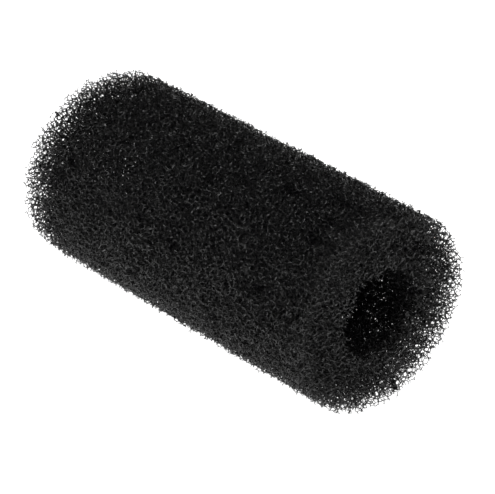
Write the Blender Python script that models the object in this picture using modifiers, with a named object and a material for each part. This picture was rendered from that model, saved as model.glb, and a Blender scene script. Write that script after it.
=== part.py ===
"""A sleeve of black open-cell filter foam: a round bar of foam with a round bore right through it.

The sleeve slides over the inlet pipe of an aquarium or pond pump. It lies on its side on z = 0, with its axis along X
and the origin under its middle. Everything is in metres.
"""

import math

import bpy
from mathutils import Matrix

# Driving dimensions
OUTER_DIAMETER = 0.050
BORE_DIAMETER = 0.0225
LENGTH = 0.102  # along the axis
EDGE_ROUNDING = 0.0005  # how far the cut foam has softened round its rims and the bore's mouths
END_SLANT = math.radians(3)  # the foam was cut to length this far off square, at both ends alike
SLANT_DIRECTION = math.radians(45)  # where the cut reaches furthest towards +X, from +Y up towards +Z

# How finely the round shapes are divided
SIDES = 72
EDGE_STEPS = 3

FOAM_COLOUR = (0.012, 0.012, 0.013, 1.0)
FOAM_ROUGHNESS = 0.6

HALF_SIDE = math.pi / SIDES
# The sleeve rests on one of its flat sides, so its axis is one flat's distance above the ground.
AXIS_HEIGHT = OUTER_DIAMETER / 2 * math.cos(HALF_SIDE)


def clear_scene():
    for obj in list(bpy.data.objects):
        bpy.data.objects.remove(obj, do_unlink=True)


def foam_material():
    material = bpy.data.materials.new("black_foam")
    material.use_nodes = True
    shader = material.node_tree.nodes["Principled BSDF"]
    shader.inputs["Base Color"].default_value = FOAM_COLOUR
    shader.inputs["Roughness"].default_value = FOAM_ROUGHNESS
    shader.inputs["Metallic"].default_value = 0.0
    return material


def corner_arc(along, radius, start):
    """Points (along the axis, from the axis) of a rounded edge, turning anticlockwise from the start angle."""
    points = []
    for step in range(EDGE_STEPS + 1):
        angle = start + math.pi / 2 * step / EDGE_STEPS
        points.append((along + EDGE_ROUNDING * math.cos(angle), radius + EDGE_ROUNDING * math.sin(angle)))
    return points


def sleeve_profile():
    """The closed outline of one wall, cut through the axis: (along the axis, from the axis)."""
    end = LENGTH / 2 - EDGE_ROUNDING
    rim = OUTER_DIAMETER / 2 - EDGE_ROUNDING
    mouth = BORE_DIAMETER / 2 + EDGE_ROUNDING
    right, up, left, down = 0.0, math.pi / 2, math.pi, 1.5 * math.pi
    return (
        corner_arc(end, rim, right)
        + corner_arc(-end, rim, up)
        + corner_arc(-end, mouth, left)
        + corner_arc(end, mouth, down)
    )


def profile_mesh():
    """The outline as a loop of edges below the axis, half a side round from straight down."""
    vertices = []
    for along, radius in sleeve_profile():
        vertices.append((along, radius * math.sin(HALF_SIDE), -radius * math.cos(HALF_SIDE)))
    count = len(vertices)
    edges = [(index, (index + 1) % count) for index in range(count)]
    mesh = bpy.data.meshes.new("sleeve_profile")
    mesh.from_pydata(vertices, edges, [])
    return mesh


def turned_mesh(profile):
    """The outline turned a full circle about the axis."""
    turn = profile.modifiers.new("Turned about the axis", "SCREW")
    turn.axis = "X"
    turn.angle = 2 * math.pi
    turn.steps = SIDES
    turn.render_steps = SIDES
    turn.screw_offset = 0.0
    turn.use_merge_vertices = True
    turn.merge_threshold = 0.00001
    turn.use_smooth_shade = True
    depsgraph = bpy.context.evaluated_depsgraph_get()
    return bpy.data.meshes.new_from_object(profile.evaluated_get(depsgraph))


def end_lean():
    """The shear along the axis that slants both ends and leaves the round sides as they are."""
    slope = math.tan(END_SLANT)
    lean = Matrix.Identity(4)
    lean[0][1] = slope * math.cos(SLANT_DIRECTION)
    lean[0][2] = slope * math.sin(SLANT_DIRECTION)
    return lean


def make_foam_sleeve(collection):
    profile = bpy.data.objects.new("sleeve_profile", profile_mesh())
    collection.objects.link(profile)
    mesh = turned_mesh(profile)
    bpy.data.objects.remove(profile, do_unlink=True)
    mesh.transform(end_lean())
    mesh.name = "foam_sleeve"
    mesh.materials.append(foam_material())
    mesh.set_sharp_from_angle(angle=math.radians(40))
    sleeve = bpy.data.objects.new("foam_sleeve", mesh)
    sleeve.location = (0.0, 0.0, AXIS_HEIGHT)
    collection.objects.link(sleeve)


def main():
    clear_scene()
    collection = bpy.data.collections.new("sponge_filter_sleeve")
    bpy.context.scene.collection.children.link(collection)
    make_foam_sleeve(collection)


main()
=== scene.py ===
"""The looks of a black filter-foam sleeve.

The sleeve is built as the foam it really is: a random network of thin plastic struts, cut to its shape.
Foam is a packing of bubbles whose edges have stayed and whose skins have gone, apart from a few. Four edges
meet at each junction, and each edge is a strut with three sides. The network comes from a small block of foam
that repeats without a seam.
"""

import itertools
import math

import bpy
import numpy as np
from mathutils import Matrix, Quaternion, Vector


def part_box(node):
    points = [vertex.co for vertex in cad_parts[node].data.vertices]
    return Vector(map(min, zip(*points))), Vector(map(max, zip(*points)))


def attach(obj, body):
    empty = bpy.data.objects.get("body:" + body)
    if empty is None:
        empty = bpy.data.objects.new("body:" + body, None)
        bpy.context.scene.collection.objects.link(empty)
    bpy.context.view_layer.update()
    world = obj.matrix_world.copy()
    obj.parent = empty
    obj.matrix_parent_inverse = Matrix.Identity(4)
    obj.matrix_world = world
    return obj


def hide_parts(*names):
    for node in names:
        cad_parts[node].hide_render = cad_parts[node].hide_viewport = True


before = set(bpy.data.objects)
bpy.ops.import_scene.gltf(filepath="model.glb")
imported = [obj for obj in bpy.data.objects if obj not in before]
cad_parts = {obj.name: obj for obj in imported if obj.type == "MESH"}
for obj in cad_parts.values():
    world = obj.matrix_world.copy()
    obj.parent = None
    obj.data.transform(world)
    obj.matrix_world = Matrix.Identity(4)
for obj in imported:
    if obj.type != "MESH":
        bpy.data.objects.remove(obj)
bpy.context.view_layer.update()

MM = 0.001
TURN = 2 * math.pi
WHITE = (1, 1, 1, 1)

# The sleeve: its box comes from the frame, and the rest repeats the CAD's own sizes
LOW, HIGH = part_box("foam_sleeve")
CENTRE = (LOW + HIGH) / 2
MIDDLE = np.array(CENTRE)  # the same point, for numpy
OUTER_RADIUS = (HIGH.z - LOW.z) / 2
BORE_RADIUS = 11.25 * MM
RIM_ROUNDING = 0.5 * MM
END_SLANT = math.radians(3)  # both ends are cut this far off square, the same way
SLANT_DIRECTION = math.radians(45)  # the way that the cut runs towards +X, from +Y up towards +Z
HALF_LENGTH = (HIGH.x - LOW.x) / 2 - math.tan(END_SLANT) * (OUTER_RADIUS - RIM_ROUNDING)  # at the axis

# The foam
CELL = 1.45 * MM  # the cube root of one foam cell's share of space
STRUT = 0.108 * MM  # from a junction's middle to its corners, at the surface
STRUT_INSIDE = 0.122 * MM  # the same, below the surface layer
SURFACE_LAYER = 4 * MM  # the struts thicken evenly from its top to its bottom
STRUT_SPREAD = 0.22  # how far the junctions' sizes differ, as a share
SKIN_SHARE = 0.01  # of the windows between two cells, how many have kept their skin
SKIN_THICKNESS = 0.03 * MM
SKIN_BULGE = 0.06 * MM  # how far a skin usually domes, either way
BLOCK_CELLS = 9  # the repeating block is this many cells wide
SEED = 11

# A junction touches four cells, and it has four corners and four mouths. The strut that leaves by a mouth
# borders the three cells with other numbers than the mouth's, and the mouth's corners have those numbers too.
MOUTHS = 4
SIDES = 3  # of a strut
OTHERS = np.array([[k for k in range(MOUTHS) if k != mouth] for mouth in range(MOUTHS)])
TURNED_OVER = [0, 2, 1]  # a triangle's corners in the other direction

# The cut surface
WAVE_DEPTH = 0.08 * MM  # the broad unevenness of the cut
WAVE_LENGTH = 5 * MM
WAVES = 30  # how many are added up
RAGGED = 0.4 * MM  # how far each junction's cut strays from the rest
STUB_PROUD = 0.15 * MM  # how far a cut strut stands out, on average
STUB_SPREAD = 0.35 * MM  # how far the cut struts differ in this
SHORTEST_STUB = 0.15  # as a share of the whole strut
HELD_DEPTH = 1.5 * MM  # the junctions deeper than this are surely joined to the rest
FACET_DEPTH = 1.2 * MM  # the struts nearer the surface than this show their flat sides

# The foam is split into pieces, along and around the sleeve
SLICES = 8
WEDGES = 3

# The finish
FOAM_COLOUR = 0.007  # how much light the plastic scatters back
COLOUR_RANGE = (0.5, 1.8)  # as shares of that
WARMTH = 1.02  # red, against green and blue
COLOUR_PATCH = 0.7 * MM
ROUGHNESS_RANGE = (0.17, 0.37)
GLOSS_PATCH = 0.5 * MM
GRAIN = 0.15 * MM
GRAIN_HEIGHT = 0.02 * MM
GRAIN_STRENGTH = 0.25
NOISE_RANGE = (0.3, 0.7)  # where nearly all of a noise's values lie

# The camera: where it stands, as seen from the sleeve's middle
AZIMUTH = math.radians(48.35)
ELEVATION = math.radians(29.45)
DISTANCE = 652.08 * MM
LENS = 196.4  # in millimetres, as the sensor is
SENSOR_WIDTH = 36
ASIDE = -2.68 * MM  # the sleeve's middle, right of the view's own middle
ABOVE = 2.99 * MM
NEAREST_SEEN = 0.01
FARTHEST_SEEN = 20

# The studio, with its lengths in metres
FLOOR_SIZE = 6
FLOOR_GAP = 1.1 * MM  # room for the struts that stand proud
FLOOR_COLOUR = (0.9, 0.9, 0.9, 1)
FLOOR_GLOW = 1.15
BACKDROP = 1.2  # how bright it is past the floor, as the camera sees it
ROOM_LIGHT = 0.02  # how bright it is past the floor, as it lights the sleeve
LAMP_DISTANCE = 1.0
LAMP_SIZE = 0.5
LAMPS = ((0, 50, 3.3), (100, 50, 2.0), (228, 40, 2.1), (-42, 20, 1.1))  # azimuth, elevation and watts


# ---------------------------------------------------------------- one repeating block of foam, in cells

def wrapped(offsets):
    """The shortest way between two points of the repeating block."""
    return offsets - BLOCK_CELLS * np.round(offsets / BLOCK_CELLS)


def cell_centres(rng):
    """Random points that have pushed each other apart until they are fairly evenly spread."""
    reach = 1.0
    push = 0.55
    rounds = 12
    far_off = 9  # the distance from a point to itself, so that it doesn't push itself
    points = rng.random((BLOCK_CELLS**3, 3)) * BLOCK_CELLS
    for _ in range(rounds):
        apart = wrapped(points[:, None] - points[None])
        distance = np.linalg.norm(apart, axis=2) + far_off * np.eye(len(points))
        force = np.clip(1 - distance / reach, 0, None) / distance
        points = (points + push * (apart * force[..., None]).sum(1)) % BLOCK_CELLS
    return points


def triples(count):
    """Every choice of three of the first numbers, in rising order."""
    return np.array(list(itertools.combinations(range(count), 3)))


def junctions(centres):
    """The points where four cells meet, and which four, in rising order.

    Three neighbours of a cell give the point that is as far from them as from the cell, and it is a junction
    if no other centre is nearer.
    """
    near = 26  # the neighbours that may meet the cell at a junction
    tested = 34  # the neighbours that may be nearer to such a point
    flat = 1e-6  # a volume this small means that the three lie in one plane with the cell
    slack = 1e-9  # for rounding
    never = 1e9  # the squared distance from a cell to itself, so that it isn't its own neighbour
    apart = wrapped(centres[None] - centres[:, None])
    distance = (apart**2).sum(2) + never * np.eye(len(centres))
    order = np.argsort(distance, axis=1)[:, :tested]
    pick = triples(near)
    places, cells = [], []
    for cell, neighbours in enumerate(order):
        to = apart[cell, neighbours]
        half = (to**2).sum(1) / 2
        a, b, c = (to[pick[:, k]] for k in range(3))
        ha, hb, hc = (half[pick[:, k], None] for k in range(3))
        volume = (a * np.cross(b, c)).sum(1)
        solid = np.abs(volume) > flat
        point = ha * np.cross(b, c) + hb * np.cross(c, a) + hc * np.cross(a, b)
        point = point[solid] / volume[solid, None]
        others = neighbours[pick[solid]]
        good = (point @ to.T <= half + slack).all(1) & (others > cell).all(1)
        places.append(centres[cell] + point[good])
        cells.append(np.c_[np.full(good.sum(), cell), others[good]])
    return np.concatenate(places), np.sort(np.concatenate(cells), axis=1)


def struts(cells):
    """Pairs of junctions that share three cells, and the place of the fourth cell in each one's list."""
    count = len(cells)
    shared = np.concatenate([np.delete(cells, k, axis=1) for k in range(MOUTHS)])
    junction = np.tile(np.arange(count), MOUTHS)
    fourth = np.repeat(np.arange(MOUTHS), count)
    order = np.lexsort(shared.T)
    shared, junction, fourth = shared[order], junction[order], fourth[order]
    first = np.flatnonzero((shared[1:] == shared[:-1]).all(1))
    return junction[first], fourth[first], junction[first + 1], fourth[first + 1]


def windows(centres, places, cells):
    """The junctions around each window between two cells, in order."""
    fewest = 3  # junctions that span a window
    choices = list(itertools.combinations(range(MOUTHS), 2))
    pairs = np.concatenate([cells[:, list(choice)] for choice in choices])
    junction = np.tile(np.arange(len(cells)), len(choices))
    order = np.lexsort(pairs.T)
    pairs, junction = pairs[order], junction[order]
    starts = np.flatnonzero(np.r_[True, (pairs[1:] != pairs[:-1]).any(1)])
    rings = []
    for pair, ring in zip(pairs[starts], np.split(junction, starts[1:])):
        if len(ring) < fewest:
            continue
        spokes = wrapped(places[ring] - places[ring[0]])
        spokes -= spokes.mean(0)
        through = wrapped(centres[pair[1]] - centres[pair[0]])
        aside = np.cross(through, spokes[0])
        angle = np.arctan2(spokes @ aside, spokes @ np.cross(aside, through))
        rings.append(ring[np.argsort(angle)])
    return rings


class Block:
    """The repeating block: junctions with four mouths each, the struts between them, and the windows."""

    def __init__(self, rng):
        even_rounds = 2
        centres = cell_centres(rng)
        self.places, cells = junctions(centres)
        self.start, self.start_mouth, self.end, self.end_mouth = struts(cells)
        self.across = np.zeros((len(cells), MOUTHS), int)
        self.across[self.start, self.start_mouth] = self.end
        self.across[self.end, self.end_mouth] = self.start
        for _ in range(even_rounds):
            self.even_out()
        self.directions = wrapped(self.places[self.across] - self.places[:, None])
        self.directions /= np.linalg.norm(self.directions, axis=2, keepdims=True)
        self.windows = windows(centres, self.places, cells)
        self.mouths = self.mouth_corners()
        self.start_ring, self.end_ring = self.strut_rings()

    def even_out(self):
        """Moves each junction half the way to the middle of its neighbours, as taut foam does."""
        half_way = 0.5
        pull = wrapped(self.places[self.across] - self.places[:, None]).mean(1)
        self.places = self.places + half_way * pull

    def mouth_corners(self):
        """For each junction and mouth, its three corners, turning anticlockwise seen from outside it."""
        corner = -self.directions[:, OTHERS]
        turn = np.cross(corner[:, :, 1] - corner[:, :, 0], corner[:, :, 2] - corner[:, :, 0])
        backward = (turn * self.directions).sum(2) < 0
        found = np.tile(OTHERS, (len(self.places), 1, 1))
        found[backward] = found[backward][:, TURNED_OVER]
        return found

    def strut_rings(self):
        """For each strut, its three corners at the start and the three that they run to at the end."""
        start_ring = self.mouths[self.start, self.start_mouth]
        end_ring = OTHERS[self.end_mouth]
        swapped = (start_ring != OTHERS[self.start_mouth]).any(1)
        end_ring[swapped] = end_ring[swapped][:, TURNED_OVER]
        return start_ring, end_ring


# ---------------------------------------------------------------- the network that fills the sleeve

def depth_inside(points):
    """How deep each point is under the sleeve's nearest surface, negative outside."""
    offset = points - MIDDLE
    radius = np.hypot(offset[:, 1], offset[:, 2])
    slant = math.cos(SLANT_DIRECTION) * offset[:, 1] + math.sin(SLANT_DIRECTION) * offset[:, 2]
    from_side = OUTER_RADIUS - radius
    from_bore = radius - BORE_RADIUS
    from_end = HALF_LENGTH - np.abs(offset[:, 0] - math.tan(END_SLANT) * slant)
    short_of_side = np.clip(RIM_ROUNDING - from_side, 0, None)
    short_of_end = np.clip(RIM_ROUNDING - from_end, 0, None)
    at_rim = (short_of_side > 0) & (short_of_end > 0)
    from_rim = RIM_ROUNDING - np.hypot(short_of_side, short_of_end)
    from_outside = np.where(at_rim, from_rim, np.minimum(from_side, from_end))
    return np.minimum(from_outside, from_bore)


def waves(points, rng):
    """A smooth random rise and fall, whose standard deviation is 1."""
    shortest = 0.6  # as a share of the usual length
    longest = 1.6
    total = np.zeros(len(points))
    for _ in range(WAVES):
        direction = rng.normal(size=3)
        direction *= TURN / (WAVE_LENGTH * rng.uniform(shortest, longest) * np.linalg.norm(direction))
        total += np.sin(points @ direction + rng.uniform(0, TURN))
    return total / math.sqrt(WAVES / 2)


def bounded_normal(rng, count):
    """Normal random numbers, with those past the limit brought back to it."""
    limit = 2
    return np.clip(rng.normal(size=count), -limit, limit)


class Network:
    """Copies of the block that fill the sleeve, turned at random so that no layer lines up with it."""

    def __init__(self, block, rng):
        self.block = block
        turn = np.array(Quaternion(rng.normal(size=4)).normalized().to_matrix())
        side = BLOCK_CELLS * CELL
        copies, steps = self.copies_near_sleeve(side, turn)
        places = block.places * CELL
        points = (copies[:, None] * side + places).reshape(-1, 3) @ turn.T
        self.points = points + MIDDLE
        directions = np.tile(block.directions, (len(copies), 1, 1)) @ turn.T
        below = depth_inside(self.points)
        size = STRUT + (STRUT_INSIDE - STRUT) * np.clip(below / SURFACE_LAYER, 0, 1)
        size *= np.exp(STRUT_SPREAD * bounded_normal(rng, len(self.points)))
        self.corners = self.points[:, None] - size[:, None, None] * directions
        self.depth = below + WAVE_DEPTH * waves(self.points, rng)
        self.depth += RAGGED * bounded_normal(rng, len(self.points))
        self.rng = rng
        self.grid = self.grid_of(copies, steps)
        self.link(copies)
        self.skins = self.kept_skins(copies)

    def copies_near_sleeve(self, side, turn):
        """The copies that come near the sleeve, as steps from the middle one, and the most steps tried."""
        steps = math.ceil((math.hypot(HALF_LENGTH, OUTER_RADIUS) + side) / side)
        line = np.arange(-steps, steps + 1)
        copies = np.stack(np.meshgrid(line, line, line, indexing="ij"), -1).reshape(-1, 3)
        middles = (copies + 0.5) * side @ turn.T
        along = np.abs(middles[:, 0]) < HALF_LENGTH + side
        across = np.hypot(middles[:, 1], middles[:, 2]) < OUTER_RADIUS + side
        return copies[along & across], steps

    def grid_of(self, copies, steps):
        """A grid that holds each copy's number, with -1 where there is no copy and along its border."""
        shift = steps + 1
        grid = np.full((2 * shift + 1,) * 3, -1)
        grid[tuple((copies + shift).T)] = np.arange(len(copies))
        return grid

    def number_at(self, steps):
        """The number of the copy that is this many steps from the middle one, or -1 if there is none."""
        shift = len(self.grid) // 2
        return self.grid[tuple(np.moveaxis(steps + shift, -1, 0))]

    def link(self, copies):
        """Finds the struts of every copy, those that run on into the next copy among them."""
        block = self.block
        count = len(block.places)
        hops = np.round((block.places[block.start] - block.places[block.end]) / BLOCK_CELLS).astype(int)
        target = self.number_at(copies[:, None] + hops)
        copy, strut = np.nonzero(target >= 0)
        start = copy * count + block.start[strut]
        end = target[copy, strut] * count + block.end[strut]
        self.drop_loose(start, end)
        self.sort_struts(start, end, strut)

    def drop_loose(self, start, end):
        """Leaves out the junctions that no chain of struts joins to the middle, since they would fall off."""
        longest_chain = 12
        just_outside = -0.05 * MM
        inside = self.depth > 0
        held = self.depth > HELD_DEPTH
        joined = inside[start] & inside[end]
        for _ in range(longest_chain):
            held[start[joined & held[end]]] = True
            held[end[joined & held[start]]] = True
        self.depth[inside & ~held] = just_outside

    def sort_struts(self, start, end, strut):
        """Keeps the struts inside the sleeve as whole, and those that cross its surface as cut."""
        block = self.block
        whole = (self.depth[start] > 0) & (self.depth[end] > 0)
        leaves = (self.depth[start] > 0) & (self.depth[end] <= 0)
        enters = (self.depth[start] <= 0) & (self.depth[end] > 0)
        start_corners = MOUTHS * start[:, None] + block.start_ring[strut]
        end_corners = MOUTHS * end[:, None] + block.end_ring[strut]
        start_mouth = MOUTHS * start + block.start_mouth[strut]
        end_mouth = MOUTHS * end + block.end_mouth[strut]
        self.whole = (start_corners[whole], end_corners[whole], start_mouth[whole], end_mouth[whole])
        inner = np.concatenate([start_corners[leaves], end_corners[enters][:, ::-1]])
        outer = np.concatenate([end_corners[leaves], start_corners[enters][:, ::-1]])
        mouth = np.concatenate([start_mouth[leaves], end_mouth[enters]])
        self.cut = (inner, outer, mouth)

    def kept_skins(self, copies):
        """The few windows that kept their skin, each as a plate's corner places and triangles."""
        block = self.block
        skins = []
        kept = self.rng.random((len(copies), len(block.windows))) < SKIN_SHARE
        for copy, window in zip(*np.nonzero(kept)):
            ring = block.windows[window]
            apart = block.places[ring] - block.places[ring[0]]
            hops = np.round((wrapped(apart) - apart) / BLOCK_CELLS).astype(int)
            there = self.number_at(copies[copy] + hops)
            around = there * len(block.places) + ring
            if (there >= 0).all() and (self.depth[around] > 0).all():
                skins.append(plate(self.points[around], SKIN_BULGE * self.rng.normal()))
        return skins


def plate(ring, bulge):
    """A thin closed plate across a ring of points, a little domed: its corner places and triangles."""
    count = len(ring)
    middle = ring.mean(0)
    across = np.cross(ring - middle, np.roll(ring, -1, axis=0) - middle).sum(0)
    across /= np.linalg.norm(across)
    half = SKIN_THICKNESS / 2 * across
    crown = middle + bulge * across
    places = np.concatenate([ring + half, [crown + half], ring - half, [crown - half]])
    this = np.arange(count)
    after = (this + 1) % count
    top = np.full(count, count)  # the crown comes after the ring
    under = count + 1  # from a corner above to the corner below it
    faces = [(this, after, top), (after + under, this + under, top + under)]
    faces += [(this + under, after + under, after), (this + under, after, this)]
    return places, np.concatenate([np.stack(part, 1) for part in faces])


def joined(meshes):
    """Several meshes as one: their corner places and triangles."""
    places, faces = zip(*meshes)
    shifts = np.cumsum([0] + [len(part) for part in places[:-1]])
    return np.concatenate(places), np.concatenate([part + shift for part, shift in zip(faces, shifts)])


def tube_faces(first, second):
    """Two triangles for each of a strut's three sides, between two matching rings of corners."""
    faces = []
    for k in range(SIDES):
        near, near_after = first[:, k], first[:, (k + 1) % SIDES]
        far, far_after = second[:, k], second[:, (k + 1) % SIDES]
        faces.append(np.stack([near, near_after, far_after], 1))
        faces.append(np.stack([near, far_after, far], 1))
    return np.concatenate(faces)


def stub_ends(network, inner, outer):
    """The corners at the cut ends of struts that run from inner to outer, each cut at a height of its own."""
    corners = network.corners.reshape(-1, 3)
    inner_depth, outer_depth = (network.depth[ring[:, 0] // MOUTHS] for ring in (inner, outer))
    level = -STUB_PROUD + STUB_SPREAD * network.rng.normal(size=len(inner))
    share = np.clip((inner_depth - level) / (inner_depth - outer_depth), SHORTEST_STUB, 1)
    return corners[inner] + share[:, None, None] * (corners[outer] - corners[inner])


def piece_faces(network, whole, cut):
    """One piece's corner places and triangles, closed at every mouth that none of its struts leaves by."""
    first, second, first_mouth, second_mouth = (part[whole] for part in network.whole)
    inner, outer, cut_mouth = (part[cut] for part in network.cut)
    used = np.concatenate([first_mouth, second_mouth, cut_mouth])
    junctions_here = np.unique(used // MOUTHS)
    mouths = (MOUTHS * junctions_here[:, None] + np.arange(MOUTHS)).ravel()
    shut = np.setdiff1d(mouths, used)
    shut_junction = shut // MOUTHS
    in_block = shut_junction % len(network.block.places)
    lids = MOUTHS * shut_junction[:, None] + network.block.mouths[in_block, shut % MOUTHS]

    local = np.full(len(network.points), -1)
    local[junctions_here] = np.arange(len(junctions_here))

    def here(ring):
        return MOUTHS * local[ring // MOUTHS] + ring % MOUTHS

    places = network.corners.reshape(-1, 3)[mouths]
    tips = len(places) + np.arange(SIDES * len(inner)).reshape(-1, SIDES)
    faces = [tube_faces(here(first), here(second)), tube_faces(here(inner), tips), here(lids), tips]
    ends = stub_ends(network, inner, outer)
    return np.concatenate([places, ends.reshape(-1, 3)]), np.concatenate(faces)


def mesh_from(name, places, faces):
    """A mesh of triangles, with flat sides near the sleeve's surface and smooth ones deeper."""
    mesh = bpy.data.meshes.new(name)
    mesh.vertices.add(len(places))
    mesh.vertices.foreach_set("co", places.astype(np.float32).ravel())
    mesh.loops.add(faces.size)
    mesh.loops.foreach_set("vertex_index", faces.astype(np.int32).ravel())
    mesh.polygons.add(len(faces))
    mesh.polygons.foreach_set("loop_start", np.arange(0, faces.size, faces.shape[1], dtype=np.int32))
    mesh.update(calc_edges=True)
    mesh.polygons.foreach_set("use_smooth", depth_inside(places[faces].mean(1)) > FACET_DEPTH)
    add_uv(mesh, places, faces)
    return mesh


def add_uv(mesh, places, faces):
    """A map by place along and around the sleeve, the same for every strut at one spot however deep it is."""
    offset = places - MIDDLE
    around = np.arctan2(offset[:, 1], offset[:, 2]) / TURN
    middle = np.angle(np.exp(1j * TURN * around).mean()) / TURN
    # In turns from the piece's own middle, so that no seam cuts it
    around = (around - middle + 0.5) % 1 - 0.5
    flat = np.stack([offset[:, 0], around], 1)
    low, high = flat.min(0), flat.max(0)
    flat = (flat - low) / (high - low)
    layer = mesh.uv_layers.new(name="OFBake")
    layer.uv.foreach_set("vector", flat[faces.ravel()].astype(np.float32).ravel())


def sector_of(points):
    """Which of the pieces a strut belongs to, by its place along and around the sleeve."""
    along = (points[:, 0] - CENTRE.x + HALF_LENGTH) / (2 * HALF_LENGTH)
    around = np.arctan2(points[:, 1] - CENTRE.y, points[:, 2] - CENTRE.z) / TURN + 0.5
    along = np.clip((along * SLICES).astype(int), 0, SLICES - 1)
    around = np.clip((around * WEDGES).astype(int), 0, WEDGES - 1)
    return along * WEDGES + around


def make_piece(sector, places, faces, material):
    name = f"foam_{sector // WEDGES + 1}_{sector % WEDGES + 1}"
    piece = bpy.data.objects.new(name, mesh_from(name, places, faces))
    bpy.context.scene.collection.objects.link(piece)
    piece.data.materials.append(material)
    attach(piece, "root")
    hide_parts("foam_sleeve")


def make_foam(material):
    rng = np.random.default_rng(SEED)
    network = Network(Block(rng), rng)
    whole_sector = sector_of(network.points[network.whole[0][:, 0] // MOUTHS])
    cut_sector = sector_of(network.points[network.cut[0][:, 0] // MOUTHS])
    skin_sector = sector_of(np.array([places.mean(0) for places, _ in network.skins]))
    for sector in range(SLICES * WEDGES):
        struts_here = piece_faces(network, whole_sector == sector, cut_sector == sector)
        skins_here = [skin for skin, its_sector in zip(network.skins, skin_sector) if its_sector == sector]
        places, faces = joined([struts_here] + skins_here)
        make_piece(sector, places, faces, material)


# ---------------------------------------------------------------- materials

def foam_material():
    """Dark plastic, satin, a little uneven in colour and gloss, with a fine grain."""
    material = bpy.data.materials.new("black_foam")
    material.use_nodes = True
    nodes, links = material.node_tree.nodes, material.node_tree.links
    shader = nodes["Principled BSDF"]
    place = nodes.new("ShaderNodeTexCoord")

    def noise(size):
        node = nodes.new("ShaderNodeTexNoise")
        node.inputs["Scale"].default_value = 1 / size
        links.new(place.outputs["Object"], node.inputs["Vector"])
        return node.outputs["Fac"]

    colour = nodes.new("ShaderNodeValToRGB")
    for element, position, share in zip(colour.color_ramp.elements, NOISE_RANGE, COLOUR_RANGE):
        shade = share * FOAM_COLOUR
        element.position = position
        element.color = (WARMTH * shade, shade, shade, 1)
    links.new(noise(COLOUR_PATCH), colour.inputs["Fac"])
    links.new(colour.outputs["Color"], shader.inputs["Base Color"])

    gloss = nodes.new("ShaderNodeMapRange")
    gloss.inputs["From Min"].default_value, gloss.inputs["From Max"].default_value = NOISE_RANGE
    gloss.inputs["To Min"].default_value, gloss.inputs["To Max"].default_value = ROUGHNESS_RANGE
    links.new(noise(GLOSS_PATCH), gloss.inputs["Value"])
    links.new(gloss.outputs["Result"], shader.inputs["Roughness"])

    bump = nodes.new("ShaderNodeBump")
    bump.inputs["Strength"].default_value = GRAIN_STRENGTH
    bump.inputs["Distance"].default_value = GRAIN_HEIGHT
    links.new(noise(GRAIN), bump.inputs["Height"])
    links.new(bump.outputs["Normal"], shader.inputs["Normal"])
    return material


def floor_material():
    """White, and glowing a little, so that no shadow shows on it."""
    material = bpy.data.materials.new("white_floor")
    material.use_nodes = True
    shader = material.node_tree.nodes["Principled BSDF"]
    shader.inputs["Base Color"].default_value = FLOOR_COLOUR
    shader.inputs["Emission Color"].default_value = WHITE
    shader.inputs["Emission Strength"].default_value = FLOOR_GLOW
    return material


# ---------------------------------------------------------------- the camera, the light and the floor

def way_out(azimuth, elevation):
    """The direction from the sleeve to something at this azimuth, from -Y towards +X, and elevation."""
    level = math.cos(elevation)
    return Vector((math.sin(azimuth) * level, -math.cos(azimuth) * level, math.sin(elevation)))


def make_camera():
    ahead = -way_out(AZIMUTH, ELEVATION)
    right = Vector((math.cos(AZIMUTH), math.sin(AZIMUTH), 0))
    up = right.cross(ahead)
    data = bpy.data.cameras.new("camera")
    data.lens = LENS
    data.sensor_width = SENSOR_WIDTH
    data.clip_start = NEAREST_SEEN
    data.clip_end = FARTHEST_SEEN
    camera = bpy.data.objects.new("camera", data)
    bpy.context.scene.collection.objects.link(camera)
    camera.location = CENTRE - right * ASIDE - up * ABOVE - ahead * DISTANCE
    camera.rotation_euler = ahead.to_track_quat("-Z", "Y").to_euler()
    bpy.context.scene.camera = camera


def make_floor():
    bpy.ops.mesh.primitive_plane_add(size=FLOOR_SIZE, location=(0, 0, LOW.z - FLOOR_GAP))
    floor = bpy.context.object
    floor.name = "floor"
    floor.data.materials.append(floor_material())


def make_lamp(azimuth, elevation, power):
    """A square soft light that looks at the sleeve."""
    data = bpy.data.lights.new("softbox", "AREA")
    data.size = LAMP_SIZE
    data.energy = power
    lamp = bpy.data.objects.new("softbox", data)
    bpy.context.scene.collection.objects.link(lamp)
    way = way_out(math.radians(azimuth), math.radians(elevation))
    lamp.location = CENTRE + way * LAMP_DISTANCE
    lamp.rotation_euler = (-way).to_track_quat("-Z", "Y").to_euler()


def make_world():
    """A white backdrop all round, which gives off far less light than it seems to."""
    world = bpy.data.worlds.new("studio")
    world.use_nodes = True
    nodes, links = world.node_tree.nodes, world.node_tree.links
    room = nodes["Background"]
    room.inputs["Color"].default_value = WHITE
    room.inputs["Strength"].default_value = ROOM_LIGHT
    backdrop = nodes.new("ShaderNodeBackground")
    backdrop.inputs["Color"].default_value = WHITE
    backdrop.inputs["Strength"].default_value = BACKDROP
    path = nodes.new("ShaderNodeLightPath")
    choice = nodes.new("ShaderNodeMixShader")
    looked_at, otherwise, when_looked_at = choice.inputs
    links.new(path.outputs["Is Camera Ray"], looked_at)
    links.new(room.outputs["Background"], otherwise)
    links.new(backdrop.outputs["Background"], when_looked_at)
    links.new(choice.outputs["Shader"], nodes["World Output"].inputs["Surface"])
    bpy.context.scene.world = world


bpy.context.scene.view_settings.view_transform = "Standard"
make_camera()
make_floor()
make_world()
for azimuth, elevation, power in LAMPS:
    make_lamp(azimuth, elevation, power)
make_foam(foam_material())
